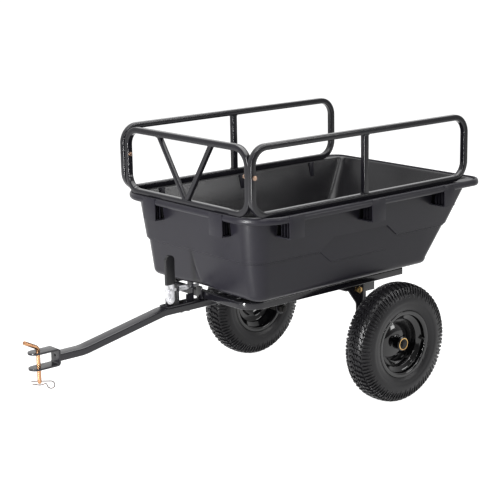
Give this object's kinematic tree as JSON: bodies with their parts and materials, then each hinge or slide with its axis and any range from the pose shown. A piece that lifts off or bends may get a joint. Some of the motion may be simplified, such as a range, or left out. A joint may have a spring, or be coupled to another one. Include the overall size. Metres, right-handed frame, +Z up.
{
  "type": "tow behind cart",
  "caption": "Tow-behind dump cart: tilting plastic bin with a tube rack, latch lever, pneumatic wheels and a drawbar with a hitch pin.",
  "frame": {"origin": "on the ground, under the middle of the bounding box", "axes": "+X is the cart's left side, -Y is the hitch end and +Y the back of the bin, +Z is up"},
  "size_m": [0.841, 1.64, 0.929],
  "materials": {
    "bin_plastic": "fine-grained black plastic",
    "frame_paint": "satin black powder coat",
    "rim_paint": "gloss black paint",
    "gold_zinc": "yellow zinc plating on steel",
    "pin_plating": "warm yellow zinc plating on steel",
    "bright_zinc": "bright zinc plating",
    "axle_steel": "dark bare steel",
    "tyre_rubber": "matt black tyre rubber",
    "rubber": "black rubber",
    "grip_vinyl": "soft black vinyl"
  },
  "bodies": {
    "chassis": {"drawbar": "frame_paint", "hitch_clevis": "frame_paint", "cross_tube": "frame_paint", "gusset_plate": "frame_paint", "gusset_bolts": "bright_zinc", "axle_leg_left": "frame_paint", "axle_leg_right": "frame_paint", "stub_axle_left": "axle_steel", "stub_axle_right": "axle_steel", "axle_nuts": "axle_steel", "axle_spacers": "axle_steel", "axle_clips": "axle_steel", "latch_bracket": "frame_paint", "latch_bracket_bolts": "axle_steel", "rest_pad": "rubber", "latch_pivot_bolt": "bright_zinc", "latch_spring": "bright_zinc"},
    "tilting_bin": {"bin": "bin_plastic", "bin_frame": "frame_paint", "pivot_beam": "frame_paint", "front_cross_member": "frame_paint", "rear_cross_member": "frame_paint", "pivot_hanger_left": "frame_paint", "pivot_hanger_right": "frame_paint", "pivot_bolts": "gold_zinc", "pivot_washers": "bright_zinc", "pivot_nuts": "axle_steel", "bin_bolts": "bright_zinc", "latch_keeper": "frame_paint", "side_rack_left": "frame_paint", "side_rack_right": "frame_paint", "front_rack": "frame_paint", "front_brace": "frame_paint", "rack_corner_bolts": "gold_zinc", "rack_corner_nuts": "gold_zinc", "rack_screws": "frame_paint"},
    "lever": {"latch_lever": "bright_zinc", "lever_grip": "grip_vinyl"},
    "rod": {"latch_rod": "bright_zinc", "latch_cross_bolt": "bright_zinc"},
    "pin": {"hitch_pin": "pin_plating"},
    "clip": {"r_clip": "bright_zinc"},
    "wheel_left": {"tyre_left": "tyre_rubber", "inner_tube_left": "rubber", "rim_left": "rim_paint", "hub_bearings_left": "gold_zinc", "valve_left": "rubber"},
    "wheel_right": {"tyre_right": "tyre_rubber", "inner_tube_right": "rubber", "rim_right": "rim_paint", "hub_bearings_right": "gold_zinc", "valve_right": "rubber"}
  },
  "joints": [
    {"name": "dump_hinge", "type": "hinge", "parent": "chassis", "child": "tilting_bin", "pos_m": [0, 0.371, 0.355], "axis": [-1, 0, 0], "range_deg": [0, 75]},
    {"name": "latch_lever_hinge", "type": "hinge", "parent": "chassis", "child": "lever", "pos_m": [0.01, -0.276, 0.403], "axis": [1, 0, 0], "range_deg": [-13, 30], "stiffness_Nm_per_rad": 2},
    {"name": "latch_rod_slide", "type": "slide", "parent": "chassis", "child": "rod", "axis": [0, -1, 0], "range_m": [-0.0065, 0.0145], "deforming": ["latch_spring"]},
    {"name": "hitch_pin_slide", "type": "slide", "parent": "chassis", "child": "pin", "axis": [0, 0, 1], "range_m": [0, 0.035]},
    {"name": "r_clip_slide", "type": "slide", "parent": "pin", "child": "clip", "axis": [0.6428, 0.766, 0], "range_m": [0, 0.07]},
    {"name": "wheel_left_spin", "type": "hinge", "parent": "chassis", "child": "wheel_left", "pos_m": [0.369, 0.385, 0.203], "axis": [1, 0, 0], "continuous": true},
    {"name": "wheel_right_spin", "type": "hinge", "parent": "chassis", "child": "wheel_right", "pos_m": [-0.369, 0.385, 0.203], "axis": [1, 0, 0], "continuous": true}
  ],
  "couplings": [
    {"joint": "latch_rod_slide", "follows": "latch_lever_hinge", "m_per_rad": 0.027}
  ]
}
